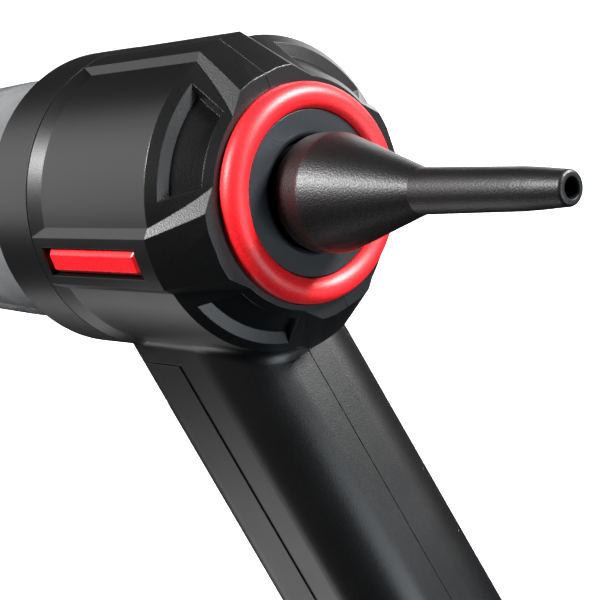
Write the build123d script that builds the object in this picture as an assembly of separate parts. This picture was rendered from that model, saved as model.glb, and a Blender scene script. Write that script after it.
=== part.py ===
"""Handheld blower vacuum, millimetres, +Z up, +X towards the nozzle.

Everything is drawn in the barrel's frame, where the barrel axis is the X axis and the housing's
front face is at x = 0. Each piece is moved to the row's frame when it is written: its origin is the
centre of the foot's underside, on the surface that the tool stands on.
"""
import os
from math import atan, cos, degrees, radians, sin, sqrt, tan

from build123d import *

# ---- Driving dimensions ------------------------------------------------------------------------
# Fasteners, walls and clearances
WALL = 2.4                  # housing wall
HANDLE_WALL = 3.0           # housing wall inside the handle
SEAM = 0.3                  # visible joint between casing pieces
FIT = 0.15                  # pieces that seat in one another
RUNNING = 0.04              # radial clearance of shafts and pins
SLIDING = 0.35              # curved faces that slide past one another
SCREW_RADIUS = 1.5
SCREW_HEAD_RADIUS = 2.8
SCREW_HEAD_HEIGHT = 2.2
SCREW_LENGTH = 18.0
BOSS_RADIUS = 3.4
BOSS_GAP = 1.1              # screw boss to its neighbours

# Barrel
BARREL_LENGTH = 92.2        # front face to the collar's rear edge
BARREL_RADIUS = 45.5        # collar and rib tops
PANEL_DROP = 1.7            # recess of the panels between the ribs
COLLAR_LENGTH = 21.1
COLLAR_WALL = 5.75
CONE_LENGTH = 13.9
LUG_DROP = 10.7             # rib top down to its front end
FACE_DROP = 12.0            # panel down to the front face between the ribs
RIB_HALF_WIDTH = 7.4
LUG_HALF_WIDTH = 9.4
RIB_ROOT = 6.0              # depth to which a rib's 45 degree flanks run
RAMP_LENGTH = 5.4           # slope from the collar down to the panels
POCKET_DEPTH = 2.4          # pockets in the cone between the ribs
POCKET_SIDE = 15.2          # pocket side to the middle plane of the nearest rib
POCKET_REAR_MARGIN = 2.6    # cone left behind and in front of a pocket
POCKET_FRONT_MARGIN = 2.3
SPIGOT_LENGTH = 7.4         # housing's spigot inside the collar

# Battery cells, which set the handle's section
CELL_RADIUS = 9.15
CELL_LENGTH = 65.0
CELL_GAP = 0.5              # between neighbouring cells
CELL_TOP = 80.0             # along the handle, from the barrel axis's height
CELL_FRAME_EDGE = 0.6
CELL_FRAME_THICKNESS = 3.0
CELL_FRAME_SET_IN = 4.0     # frame's middle from the cell's end
CELL_TO_GROUND = 29.0432    # cells' lower end above the surface that the foot stands on
BOARD_ABOVE_CELLS = 16.0    # driver board's middle
SCREW_ABOVE_CELLS = 18.0    # handle's upper screw
SCREW_ABOVE_MIDDLE = 0.5    # handle's middle screw to the cells' middle
SCREW_ABOVE_END = 11.0      # handle's lower screw to the cells' lower end
FRONT_SCREW_X = -26.0       # barrel's front screw behind the front face

# Handle
HANDLE_SLANT = 16.6         # degrees from upright, the foot further forward
HANDLE_AHEAD = 0.9          # middle line at the barrel axis's height, ahead of the collar
HANDLE_SIDE_SPACE = 1.9     # cell frame to the handle's inner side wall
HANDLE_FRONT_RADIUS = 17.0
HANDLE_REAR_RADIUS = 16.0
ROOT_BLEND = 5.0            # rounded corner between the handle and the barrel
COVER_BELOW_AXIS = 44.6     # barrel axis down to the grip cover's upper joint
GROOVE_AHEAD = 1.2          # joint's middle plane, ahead of the handle's
GROOVE_WIDTH = 1.6          # joint between grip cover and housing
GROOVE_DEPTH = 1.3
GROOVE_RIB = 0.5            # fine rib that stands in the joint
GROOVE_RIB_DROP = 0.3
TONGUE_REACH = 6.0          # housing's tongue behind the joint's middle plane
PAD_RISE = 0.7              # rubber pad above the grip cover
PAD_TOP_Z = -62.0
PAD_BOTTOM_MARGIN = 6.0
PAD_WRAP = 4.5              # how far the pad reaches round the rear corners

# Foot
FOOT_HEIGHT = 18.0          # handle's lower end above the surface
FOOT_SET_BACK = 3.5         # foot's middle behind the handle's lower end
FOOT_LENGTH = 86.0
FOOT_WIDTH = 60.0
FOOT_CORNER = 24.0
FOOT_BAND = 10.0            # upright edge of the foot
FOOT_WALL = 3.0
FOOT_FLOOR = 1.3
FOOT_PAD_RECESS = 1.2
FOOT_PAD_MARGIN = 4.0

# Outlet and nozzle
SOCKET_BORE = 14.5
SOCKET_DEPTH = 14.2
SOCKET_WALL = 2.6
MOUTH_FLARE = 0.6           # plate's mouth round the socket
PLATE_FACE_X = 3.0
PLATE_WIDTH = 7.45          # plate's face between its mouth and the ring
RING_WIDTH = 7.15
RING_CREST_INSET = 3.6
RING_CREST_X = 5.2
RING_SEAT_DEPTH = 6.0
RING_SHOULDER = 2.5         # housing's shoulder that the ring clips behind
NOZZLE_BASE_RADIUS = 16.0
NOZZLE_BASE_START = 8.8     # end of the round that leads out from the spigot
NOZZLE_BASE_END = 13.6
NOZZLE_SHOULDER = 3.4       # radius of the round start of the cone
NOZZLE_NECK_RADIUS = 5.95
NOZZLE_NECK_X = 44.6
NOZZLE_TIP_X = 92.0
NOZZLE_TIP_RADIUS = 4.2
NOZZLE_BORE = 2.45
NOZZLE_WALL = 1.8

# Dust cup, intake and filter
CUP_LENGTH = 87.4           # mouth to rear end
CUP_TAPER = 1.2             # radius lost towards the rear end
CUP_WALL = 2.0
CUP_REAR_CORNER = 4.5
INTAKE_RADIUS = 15.5
INTAKE_LENGTH = 24.0
NOSE_LENGTH = 18.0
NOSE_WALL = 3.2
DUCT_REACH = 12.0           # intake duct inside the cup
DUCT_LIP = 1.0              # bore's stop for what is pushed in
FLAP_THICKNESS = 1.4
FLAP_OVERLAP = 1.1          # flap's rim over the duct's bore
FLAP_PIN_RADIUS = 1.0
FLAP_EAR_SPACING = 7.0
FILTER_LENGTH = 33.0
FILTER_RADIUS = 29.0
FILTER_BORE = 17.0
FILTER_SPIGOT_WALL = 3.0
PLEATS = 28
PAPER = 0.8

# Fan and motor
FAN_RADIUS = 21.0
TIP_CLEARANCE = 0.6
SHROUD_WALL = 2.0
FAN_BLADES = 9
FAN_AHEAD = 8.1             # fan's rear edge ahead of the collar
FAN_DEPTH = 12.0
BLADE_SWEEP = 40.0
BLADE_THICKNESS = 1.2
MOTOR_RADIUS = 13.5
MOTOR_LENGTH = 30.0
MOTOR_WALL = 1.5
STATOR_LENGTH = 14.0
SHAFT_RADIUS = 1.5
MAGNET_RADIUS = 5.6
BEARING_RADIUS = 4.0
BEARING_WIDTH = 4.0
VANES = 11
VANE_LENGTH = 9.0
DAMPER_WIDTH = 4.0

# Buttons, boards and lights on the back of the handle
BOARD_THICKNESS = 1.6
SWITCH_SPACE = 9.85         # handle's rear face to the button board's inner face
BUTTON_BOARD_THICKNESS = 1.2
BOARD_TO_CELLS = 0.45
POWER_BUTTON_RADIUS = 6.0
SPEED_BUTTON_RADIUS = 4.2
BUTTON_TRAVEL = 0.8
POWER_AT = 66.5             # along the handle
SPEED_AT = 80.0
LENS_AT = 89.0
LENS_LENGTH = 4.0           # along the handle
LENS_WIDTH = 9.0

# Release buttons on the side ribs
RELEASE_WIDTH = 7.6
RELEASE_CHAMFER = 1.5
RELEASE_FRONT_X = -21.2
RELEASE_TO_COLLAR = 5.5
RELEASE_GAP = 0.65
RELEASE_REAR_GAP = 1.8
LATCH_THICKNESS = 1.8
LATCH_HOOK = 8.0            # hook's reach into the cup's mouth
SPRING_LENGTH = 7.7
SPRING_RADIUS = 2.2
SPRING_PITCH = 1.5
SPRING_WIRE = 0.6

# Charging socket
USB_WIDTH = 8.94
USB_HEIGHT = 3.26
USB_DEPTH = 7.35
PORT_FLAP_WIDTH = 14.4
PORT_FLAP_HEIGHT = 7.4
PORT_FLAP_THICKNESS = 1.1

# ---- Derived sizes and places ------------------------------------------------------------------
BIG = 400.0
SLANT = radians(HANDLE_SLANT)
REAR_X = -BARREL_LENGTH
COLLAR_X = REAR_X + COLLAR_LENGTH
PANEL_RADIUS = BARREL_RADIUS - PANEL_DROP
FACE_RADIUS = PANEL_RADIUS - FACE_DROP
LUG_RADIUS = BARREL_RADIUS - LUG_DROP
CONE_SLOPE = FACE_DROP / CONE_LENGTH
CONE_LEAN = cos(atan(CONE_SLOPE))
CAVITY_RADIUS = PANEL_RADIUS - WALL - 0.4
SPIGOT_RADIUS = CAVITY_RADIUS
SPIGOT_BORE = SPIGOT_RADIUS - WALL
SPIGOT_END = COLLAR_X - SPIGOT_LENGTH

PLATE_MOUTH = SOCKET_BORE + MOUTH_FLARE
SOCKET_OUTER = SOCKET_BORE + SOCKET_WALL
RING_BORE = PLATE_MOUTH + PLATE_WIDTH + SEAM
RING_RADIUS = RING_BORE + RING_WIDTH
RING_CREST_RADIUS = RING_RADIUS - RING_CREST_INSET
RING_SLEEVE = RING_RADIUS - 3.0
RING_SHOULDER_X = -RING_SEAT_DEPTH - RING_SHOULDER
PLATE_FLANGE_X = RING_SHOULDER_X - 1.7

CELL_PITCH = 2 * CELL_RADIUS + CELL_GAP
CELL_FRAME_SIZE = 2 * CELL_RADIUS + CELL_PITCH + 2 * CELL_FRAME_EDGE
HANDLE_WIDTH = CELL_FRAME_SIZE + 2 * (HANDLE_WALL + HANDLE_SIDE_SPACE)
BOARD_PLANE = -CELL_FRAME_SIZE / 2 - BOARD_TO_CELLS
REAR_FACE = BOARD_PLANE - SWITCH_SPACE
BOSS_U = CELL_FRAME_SIZE / 2 + BOSS_GAP + BOSS_RADIUS
FRONT_FACE = BOSS_U + BOSS_RADIUS + WALL
HANDLE_MIDDLE_U = (FRONT_FACE + REAR_FACE) / 2
HANDLE_DEPTH = FRONT_FACE - REAR_FACE
HANDLE_AXIS_X = COLLAR_X + HANDLE_AHEAD
CELL_END = CELL_TOP + CELL_LENGTH
AXIS_HEIGHT = CELL_END * cos(SLANT) + CELL_TO_GROUND
BOARD_PLACE = CELL_TOP - BOARD_ABOVE_CELLS
HANDLE_SCREWS = (
    CELL_TOP - SCREW_ABOVE_CELLS,
    CELL_TOP + CELL_LENGTH / 2 - SCREW_ABOVE_MIDDLE,
    CELL_END - SCREW_ABOVE_END,
)
HANDLE_END_Z = -AXIS_HEIGHT + FOOT_HEIGHT
HANDLE = Plane(
    origin=(HANDLE_AXIS_X, 0, 0),
    x_dir=(cos(SLANT), 0, sin(SLANT)),
    z_dir=(sin(SLANT), 0, -cos(SLANT)),
)
HANDLE_LENGTH = (AXIS_HEIGHT + HANDLE_DEPTH) / cos(SLANT)
COVER_TOP_Z = -COVER_BELOW_AXIS

FOOT_MIDDLE_X = HANDLE_AXIS_X - HANDLE_END_Z * tan(SLANT) - FOOT_SET_BACK
FOOT_REAR_X = FOOT_MIDDLE_X - FOOT_LENGTH / 2
FOOT_SHOULDER_Z = -AXIS_HEIGHT + FOOT_BAND
FOOT_FLOOR_Z = -AXIS_HEIGHT + FOOT_PAD_RECESS + FOOT_FLOOR
CHARGE_BOARD_TOP = FOOT_FLOOR_Z + 1.1
PORT_Z = CHARGE_BOARD_TOP + USB_HEIGHT / 2 + 0.05
ROW_ORIGIN = (-FOOT_MIDDLE_X, 0, AXIS_HEIGHT)

SHROUD_BORE = FAN_RADIUS + TIP_CLEARANCE
SHROUD_OUTER = SHROUD_BORE + SHROUD_WALL
DAMPER_OUTER = SHROUD_OUTER + 4.0
FAN_X = COLLAR_X + FAN_AHEAD
SHROUD_END = FAN_X + FAN_DEPTH + 12.0
MODULE_RIB_X = FAN_X + FAN_DEPTH + 4.0
MOTOR_X = FAN_X + FAN_DEPTH + 1.0
MOTOR_END = MOTOR_X + MOTOR_LENGTH
STATOR_X = MOTOR_X + BEARING_WIDTH + 4.0
FAN_INLET_RADIUS = FILTER_BORE
FAN_INLET_X = FAN_X - 1.4
BULKHEAD_X = COLLAR_X - 3.4
FILTER_SPIGOT = FILTER_BORE + FILTER_SPIGOT_WALL
FILTER_MOUTH_X = COLLAR_X - 6.0

CUP_RADIUS = BARREL_RADIUS - COLLAR_WALL - SLIDING
CUP_END_RADIUS = CUP_RADIUS - CUP_TAPER
CUP_MOUTH_X = SPIGOT_END - 2.1
CUP_END_X = CUP_MOUTH_X - CUP_LENGTH
NOSE_OUTER = INTAKE_RADIUS + NOSE_WALL
NOSE_MOUTH_X = CUP_END_X - NOSE_LENGTH
DUCT_END_X = CUP_END_X + DUCT_REACH
FLAP_AXIS_X = DUCT_END_X + 2.5
FLAP_AXIS_Z = INTAKE_RADIUS + 2.0

RELEASE_REAR_X = COLLAR_X + RELEASE_TO_COLLAR
LATCH_OUTER = CAVITY_RADIUS - 0.9
LATCH_ARM_OUTER = CUP_RADIUS - CUP_WALL - 0.9
SPRING_SEAT = LATCH_OUTER - LATCH_THICKNESS - SPRING_LENGTH
SPRING_EAR_X = (FAN_X + 5.0, FAN_X + 13.0)


# ---- Shape helpers -----------------------------------------------------------------------------
def turned(points):
    """Solid turned about the barrel axis from (x, radius) points."""
    return revolve(make_face(Polyline(*points, close=True)), Axis.X, 360)


def tube(x_from, x_to, outer, inner):
    """Plain ring about the barrel axis."""
    return turned([(x_from, inner), (x_to, inner), (x_to, outer), (x_from, outer)])


def rod(x_from, x_to, radius):
    """Plain cylinder on the barrel axis."""
    middle = (x_from + x_to) / 2
    return Pos(middle, 0, 0) * Rot(0, 90, 0) * Cylinder(radius, abs(x_to - x_from))


def block(x_span, y_span, z_span):
    """Box between the given limits."""
    size = [high - low for low, high in (x_span, y_span, z_span)]
    middle = [(high + low) / 2 for low, high in (x_span, y_span, z_span)]
    return Pos(*middle) * Box(*size)


def below(z):
    """Everything under a level."""
    return block((-BIG, BIG), (-BIG, BIG), (z - BIG, z))


def above(z):
    """Everything over a level."""
    return block((-BIG, BIG), (-BIG, BIG), (z, z + BIG))


def handle_outline(inset=0.0):
    """Handle section with wide round corners."""
    outline = Rectangle(HANDLE_DEPTH - 2 * inset, HANDLE_WIDTH - 2 * inset)
    front = outline.vertices().group_by(Axis.X)[-1]
    outline = fillet(front, HANDLE_FRONT_RADIUS - inset)
    rear = outline.vertices().group_by(Axis.X)[0]
    return Pos(HANDLE_MIDDLE_U, 0) * fillet(rear, HANDLE_REAR_RADIUS - inset)


def handle_prism(inset=0.0):
    """Handle section carried down the slant from the barrel axis's height."""
    return HANDLE * extrude(handle_outline(inset), HANDLE_LENGTH)


def in_handle(shape, u=0.0, v=0.0, w=0.0):
    """Place a shape by handle distances: forward, sideways and down the slant."""
    return HANDLE * Pos(u, v, w) * shape


def ahead_of(u):
    """Everything in front of a plane through the handle, square to its depth."""
    return in_handle(Box(BIG, BIG, 2 * BIG), u + BIG / 2)


def button_axis(shape, w):
    """Stand a shape drawn along Z on the handle's rear face, with +Z into the handle."""
    return HANDLE * Pos(REAR_FACE, 0, w) * Rot(0, 90, 0) * shape


def mirrored(shape):
    """The same piece on the +Y side."""
    return mirror(shape, Plane.XZ)


# ---- Housing -----------------------------------------------------------------------------------
def rib_section(x, top_radius, half_width):
    """Rib section with 45 degree flanks, wider towards its root."""
    edge = sqrt(top_radius**2 - half_width**2)
    over = 1.0
    points = [
        (-(half_width + RIB_ROOT), edge - RIB_ROOT),
        (-(half_width - over), edge + over),
        (half_width - over, edge + over),
        (half_width + RIB_ROOT, edge - RIB_ROOT),
    ]
    section = make_face(Polyline(*points, close=True))
    return Plane(origin=(x, 0, 0), x_dir=(0, 1, 0), z_dir=(1, 0, 0)) * section


def barrel_ribs():
    """Four ribs along the barrel that run down the cone as lugs."""
    cone_start = rib_section(-CONE_LENGTH, BARREL_RADIUS, RIB_HALF_WIDTH)
    lug = rib_section(0, LUG_RADIUS, LUG_HALF_WIDTH)
    straight = extrude(rib_section(COLLAR_X, BARREL_RADIUS, RIB_HALF_WIDTH), -CONE_LENGTH - COLLAR_X)
    one = straight + loft([cone_start, lug], ruled=True)
    envelope = turned([
        (COLLAR_X, 0),
        (COLLAR_X, BARREL_RADIUS),
        (-CONE_LENGTH, BARREL_RADIUS),
        (0, LUG_RADIUS),
        (0, 0),
    ])
    return envelope & Compound([Rot(90 * turn, 0, 0) * one for turn in range(4)])


def cone_pockets():
    """Shallow pockets in the four cone panels."""
    normal_drop = POCKET_DEPTH / CONE_LEAN
    outer_x = -CONE_LENGTH + POCKET_REAR_MARGIN
    inner_x = -POCKET_FRONT_MARGIN
    profile = [
        (outer_x, FACE_RADIUS - outer_x * CONE_SLOPE + 3),
        (outer_x, FACE_RADIUS - outer_x * CONE_SLOPE),
        (outer_x + 0.4, FACE_RADIUS - (outer_x + 0.4) * CONE_SLOPE - normal_drop),
        (inner_x - 1.4, FACE_RADIUS - (inner_x - 1.4) * CONE_SLOPE - normal_drop),
        (inner_x, FACE_RADIUS - inner_x * CONE_SLOPE),
        (inner_x, FACE_RADIUS - inner_x * CONE_SLOPE + 3),
    ]
    quarter = block((-CONE_LENGTH, 0), (POCKET_SIDE, BIG), (POCKET_SIDE, BIG))
    pocket = turned(profile) & quarter
    return [Rot(90 * turn, 0, 0) * pocket for turn in range(4)]


def barrel_body():
    """Barrel, ribs and lugs as one filled solid with the pockets cut."""
    body = turned([
        (SPIGOT_END, 0),
        (SPIGOT_END, SPIGOT_RADIUS),
        (COLLAR_X, SPIGOT_RADIUS),
        (COLLAR_X, BARREL_RADIUS - 0.1),
        (COLLAR_X + RAMP_LENGTH, PANEL_RADIUS),
        (-CONE_LENGTH, PANEL_RADIUS),
        (0, FACE_RADIUS),
        (0, 0),
    ])
    body = body + barrel_ribs()
    for pocket in cone_pockets():
        body = body - pocket
    return body


def barrel_cavity():
    """Space inside the barrel: ring seat, shoulder, machine space and rear mouth."""
    cone_drop = (POCKET_DEPTH + 1.8) / CONE_LEAN
    cone_radius = FACE_RADIUS - cone_drop - RING_SHOULDER_X * CONE_SLOPE
    full_x = -(CAVITY_RADIUS - FACE_RADIUS + cone_drop) / CONE_SLOPE
    return turned([
        (1, 0),
        (1, RING_RADIUS + FIT),
        (-RING_SEAT_DEPTH, RING_RADIUS + FIT),
        (-RING_SEAT_DEPTH, RING_SLEEVE),
        (RING_SHOULDER_X, RING_SLEEVE),
        (RING_SHOULDER_X, cone_radius),
        (full_x, CAVITY_RADIUS),
        (COLLAR_X + 3, CAVITY_RADIUS),
        (COLLAR_X + 3, SPIGOT_BORE),
        (SPIGOT_END - 1, SPIGOT_BORE),
        (SPIGOT_END - 1, 0),
    ])


def root_blend():
    """Handle's upper end with a rounded corner where it meets the barrel's panels."""
    barrel = rod(REAR_X - 40, 10, PANEL_RADIUS)
    joined = barrel + (handle_prism() & below(-20) & above(HANDLE_END_Z))
    corner = [
        edge
        for edge in joined.edges()
        if edge.geom_type != GeomType.LINE and -PANEL_RADIUS - 1 < edge.center().Z < -20
    ]
    return fillet(corner, ROOT_BLEND) & above(COVER_TOP_Z - 3 * ROOT_BLEND) & below(-20)


def handle_body():
    """Housing's share of the handle: the full root, then the front half with an inner tongue."""
    prism = handle_prism() & below(-20) & above(HANDLE_END_Z)
    collar_room = rod(REAR_X - 50, COLLAR_X, BARREL_RADIUS + FIT)
    ahead = ahead_of(GROOVE_AHEAD + GROOVE_WIDTH / 2)
    top = above(COVER_TOP_Z)
    root = root_blend() + (prism & top)
    root = (root & (top + ahead)) - collar_room - block((-CONE_LENGTH, BIG), (-BIG, BIG), (-BIG, BIG))
    front = (prism & below(COVER_TOP_Z)) & ahead
    tongue = handle_prism(GROOVE_DEPTH + FIT) & ahead_of(GROOVE_AHEAD - TONGUE_REACH)
    rib = handle_prism(GROOVE_RIB_DROP) & ahead_of(GROOVE_AHEAD - GROOVE_RIB / 2)
    rib = rib - ahead_of(GROOVE_AHEAD + GROOVE_RIB / 2)
    inside = (tongue + rib) & below(COVER_TOP_Z + 1) & above(HANDLE_END_Z)
    return root + front + (inside - collar_room)


def handle_cavity():
    """Space inside the handle, open to the barrel above and to the foot below."""
    space = handle_prism(HANDLE_WALL) & below(-20)
    return space - rod(REAR_X - 50, COLLAR_X + WALL, BARREL_RADIUS + WALL)


def boss_places():
    """Housing screws: two over the fan, three down the front of the handle."""
    barrel = [(x, CAVITY_RADIUS - BOSS_RADIUS - 1.4) for x in (FRONT_SCREW_X, FAN_X + 3.0)]
    handle = []
    for w in HANDLE_SCREWS:
        place = HANDLE.from_local_coords(Vector(BOSS_U, 0, w))
        handle.append((place.X, place.Z))
    return barrel + handle


def boss_reach(x, z):
    """Half width of the inside of the housing at a boss."""
    if z > 0:
        return sqrt(CAVITY_RADIUS**2 - (z + BOSS_RADIUS) ** 2)
    return HANDLE_WIDTH / 2 - HANDLE_WALL - 3.4


def across(x, z, radius, y_from, y_to):
    """Cylinder along Y."""
    return Pos(x, (y_from + y_to) / 2, z) * Rot(90, 0, 0) * Cylinder(radius, y_to - y_from)


def release_window():
    """Opening in the -Y rib for the release button."""
    x_span = (RELEASE_REAR_X - RELEASE_REAR_GAP, RELEASE_FRONT_X + RELEASE_GAP)
    half = RELEASE_WIDTH / 2 + RELEASE_GAP
    return block(x_span, (-BARREL_RADIUS - 2, -CAVITY_RADIUS + 3), (-half, half))


def housing():
    """Both halves in one piece, before they are parted at the middle plane."""
    filled = barrel_body() + handle_body()
    body = filled - barrel_cavity() - handle_cavity()
    rib_x = (MODULE_RIB_X - 1.2, MODULE_RIB_X + 1.2)
    notch = block((rib_x[0] - 1, rib_x[1] + 1), (-BIG, BIG), (-7.5, 7.5))
    ring_rib = tube(*rib_x, CAVITY_RADIUS + 0.5, DAMPER_OUTER + FIT) - notch
    body = body + (ring_rib & above(-30))
    for x, z in boss_places():
        reach = boss_reach(x, z)
        body = body + (across(x, z, BOSS_RADIUS, -reach - 2, reach + 2) & filled)
    for x, z in boss_places():
        reach = boss_reach(x, z)
        body = body - across(x, z, SCREW_RADIUS + RUNNING, -SCREW_LENGTH / 2 - 1, reach)
        body = body - across(x, z, SCREW_HEAD_RADIUS + FIT, SCREW_LENGTH / 2, BIG)
    return body - release_window() - mirrored(release_window())


def housing_half(body, side):
    """One clamshell half, set back from the middle plane by half the seam."""
    keep = block((-BIG, BIG), (SEAM / 4, BIG), (-BIG, BIG))
    if side < 0:
        keep = mirrored(keep)
    return body & keep


def housing_screws():
    """Five screws from the +Y side, each with a flat head and a hex socket."""
    screws = []
    for x, z in boss_places():
        top = SCREW_LENGTH / 2
        shank = across(x, z, SCREW_RADIUS, -SCREW_LENGTH / 2, top)
        head = across(x, z, SCREW_HEAD_RADIUS, top, top + SCREW_HEAD_HEIGHT)
        key = extrude(RegularPolygon(1.25, 6), 1.4)
        key = Pos(x, top + SCREW_HEAD_HEIGHT, z) * Rot(90, 0, 0) * key
        screws.append(shank + head - key)
    return screws


def screw_plugs():
    """Plugs over the screw heads, flush with the housing."""
    outside = barrel_body() + handle_body()
    start = SCREW_LENGTH / 2 + SCREW_HEAD_HEIGHT + FIT
    return [across(x, z, SCREW_HEAD_RADIUS + FIT / 2, start, BIG) & outside for x, z in boss_places()]


def rear_collar():
    """Plain ring over the housing's spigot that holds the two halves together."""
    ring = turned([
        (REAR_X, CUP_RADIUS + SLIDING),
        (SPIGOT_END, CUP_RADIUS + SLIDING),
        (SPIGOT_END, SPIGOT_RADIUS + FIT),
        (COLLAR_X - SEAM, SPIGOT_RADIUS + FIT),
        (COLLAR_X - SEAM, BARREL_RADIUS),
        (REAR_X, BARREL_RADIUS),
    ])
    edges = ring.edges().filter_by(GeomType.CIRCLE).group_by(Axis.X)[0]
    return fillet(edges.sort_by(SortBy.RADIUS)[-1], 1.0)


# ---- Outlet and nozzle -------------------------------------------------------------------------
def outlet_ring():
    """Red ring with a soft crest, its sleeve clipped behind the housing's shoulder."""
    outer_x = 1.6
    inner_x = 3.3
    sleeve = RING_SLEEVE - FIT
    back = Polyline(
        (inner_x, RING_BORE),
        (RING_SHOULDER_X - 1.6, RING_BORE),
        (RING_SHOULDER_X - 1.6, sleeve),
        (RING_SHOULDER_X - 0.1, sleeve + 0.8),
        (RING_SHOULDER_X - 0.1, sleeve),
        (-RING_SEAT_DEPTH + 0.1, sleeve),
        (-RING_SEAT_DEPTH + 0.1, RING_RADIUS),
        (outer_x, RING_RADIUS),
    )
    crest = Spline(
        (outer_x, RING_RADIUS),
        (RING_CREST_X - 0.9, RING_CREST_RADIUS + 2.2),
        (RING_CREST_X, RING_CREST_RADIUS),
        (RING_CREST_X - 0.5, RING_CREST_RADIUS - 2.0),
        (inner_x, RING_BORE),
    )
    return revolve(make_face([back, crest]), Axis.X, 360)


def outlet_plate():
    """Disc inside the ring with the nozzle's socket behind it."""
    rim = RING_BORE - SEAM
    socket_end = -SOCKET_DEPTH
    plate = turned([
        (PLATE_FACE_X, PLATE_MOUTH),
        (-1.5, PLATE_MOUTH),
        (-3.0, SOCKET_BORE),
        (socket_end, SOCKET_BORE),
        (socket_end, SOCKET_BORE - 2.4),
        (socket_end - 2.0, SOCKET_BORE - 2.4),
        (socket_end - 2.0, SOCKET_OUTER),
        (PLATE_FLANGE_X - 1.8, SOCKET_OUTER),
        (PLATE_FLANGE_X - 1.8, rim + 2.2),
        (PLATE_FLANGE_X, rim + 2.2),
        (PLATE_FLANGE_X, rim),
        (PLATE_FACE_X, rim),
    ])
    lip = plate.edges().filter_by(GeomType.CIRCLE).group_by(Axis.X)[-1].sort_by(SortBy.RADIUS)[0]
    plate = fillet(lip, 1.6)
    groove = tube(-9.6, -7.6, SOCKET_BORE + 1.2, SOCKET_BORE - 0.5)
    return plate - groove


def outlet_seal():
    """Rubber ring in the socket's groove."""
    middle_radius = SOCKET_BORE + 0.45
    section = Pos(-8.6, middle_radius) * Circle(0.7)
    return revolve(section, Axis.X, 360)


def nozzle():
    """Narrow push-fit nozzle: spigot, round base, plain cone and long thin tube."""
    spigot = SOCKET_BORE - SLIDING
    spigot_end = -SOCKET_DEPTH + 0.4
    spigot_wall = 2.0
    tip = NOZZLE_TIP_X
    tip_wall_radius = NOZZLE_TIP_RADIUS + 0.15
    turn = degrees(atan((NOZZLE_BASE_RADIUS - NOZZLE_NECK_RADIUS) / (NOZZLE_NECK_X - NOZZLE_BASE_END)))
    rear = Polyline(
        (spigot_end, spigot - spigot_wall),
        (spigot_end, spigot - 0.6),
        (spigot_end + 0.6, spigot),
        (PLATE_FACE_X, spigot),
    )
    swell = ThreePointArc(
        rear @ 1,
        (PLATE_FACE_X + 2.2, NOZZLE_BASE_RADIUS - 0.55),
        (NOZZLE_BASE_START, NOZZLE_BASE_RADIUS),
    )
    base = Line(swell @ 1, (NOZZLE_BASE_END, NOZZLE_BASE_RADIUS))
    shoulder = JernArc((NOZZLE_BASE_END, NOZZLE_BASE_RADIUS), (1, 0), NOZZLE_SHOULDER, -turn)
    stem = Polyline(
        shoulder @ 1,
        (NOZZLE_NECK_X, NOZZLE_NECK_RADIUS),
        (tip - 14.0, NOZZLE_TIP_RADIUS + 1.1),
        (tip - 9.5, NOZZLE_TIP_RADIUS + 0.85),
        (tip - 0.9, tip_wall_radius),
    )
    tip_corner = ThreePointArc(
        (tip - 0.9, tip_wall_radius),
        (tip - 0.2, NOZZLE_TIP_RADIUS - 0.25),
        (tip, NOZZLE_TIP_RADIUS - 0.9),
    )
    bore = Polyline(
        (tip, NOZZLE_TIP_RADIUS - 0.9),
        (tip, NOZZLE_BORE + 0.25),
        (tip - 0.6, NOZZLE_BORE),
        (tip - 16.0, NOZZLE_BORE + 0.3),
        (NOZZLE_NECK_X, NOZZLE_NECK_RADIUS - NOZZLE_WALL),
        (NOZZLE_BASE_END, NOZZLE_BASE_RADIUS - NOZZLE_WALL - 1.4),
        (NOZZLE_BASE_END - 5.0, spigot - spigot_wall),
        (spigot_end, spigot - spigot_wall),
    )
    return revolve(make_face([rear, swell, base, shoulder, stem, tip_corner, bore]), Axis.X, 360)


# ---- Handle pieces -----------------------------------------------------------------------------
def grip_cover():
    """U-shaped cover on the back of the handle, thinner where it laps the housing's tongue."""
    outer = handle_prism() - ahead_of(GROOVE_AHEAD - GROOVE_WIDTH / 2)
    lap = ahead_of(GROOVE_AHEAD - TONGUE_REACH - SEAM)
    inner = handle_prism(WALL) - lap
    cover = outer - (handle_prism(GROOVE_DEPTH - FIT) & lap) - inner
    cover = cover & below(COVER_TOP_Z - 2 * SEAM) & above(HANDLE_END_Z)
    cover = cover - rod(REAR_X - 50, COLLAR_X + SEAM, BARREL_RADIUS + SEAM)
    for w, radius in button_places():
        cover = cover - button_axis(Cylinder(radius + SLIDING, 20), w)
    return cover - button_axis(Box(LENS_LENGTH, LENS_WIDTH, 20), LENS_AT)


def button_places():
    """Distance along the handle and radius of the two thumb buttons."""
    return [(POWER_AT, POWER_BUTTON_RADIUS), (SPEED_AT, SPEED_BUTTON_RADIUS)]


def grip_pad():
    """Soft pad moulded over the back of the grip cover, with openings for the buttons."""
    pad = handle_prism(-PAD_RISE) - handle_prism()
    pad = pad - ahead_of(REAR_FACE + PAD_WRAP)
    pad = pad & below(PAD_TOP_Z) & above(HANDLE_END_Z + PAD_BOTTOM_MARGIN)
    for w, radius in button_places():
        pad = pad - button_axis(Cylinder(radius + SLIDING, 20), w)
    return pad - button_axis(Box(LENS_LENGTH, LENS_WIDTH, 20), LENS_AT)


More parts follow.
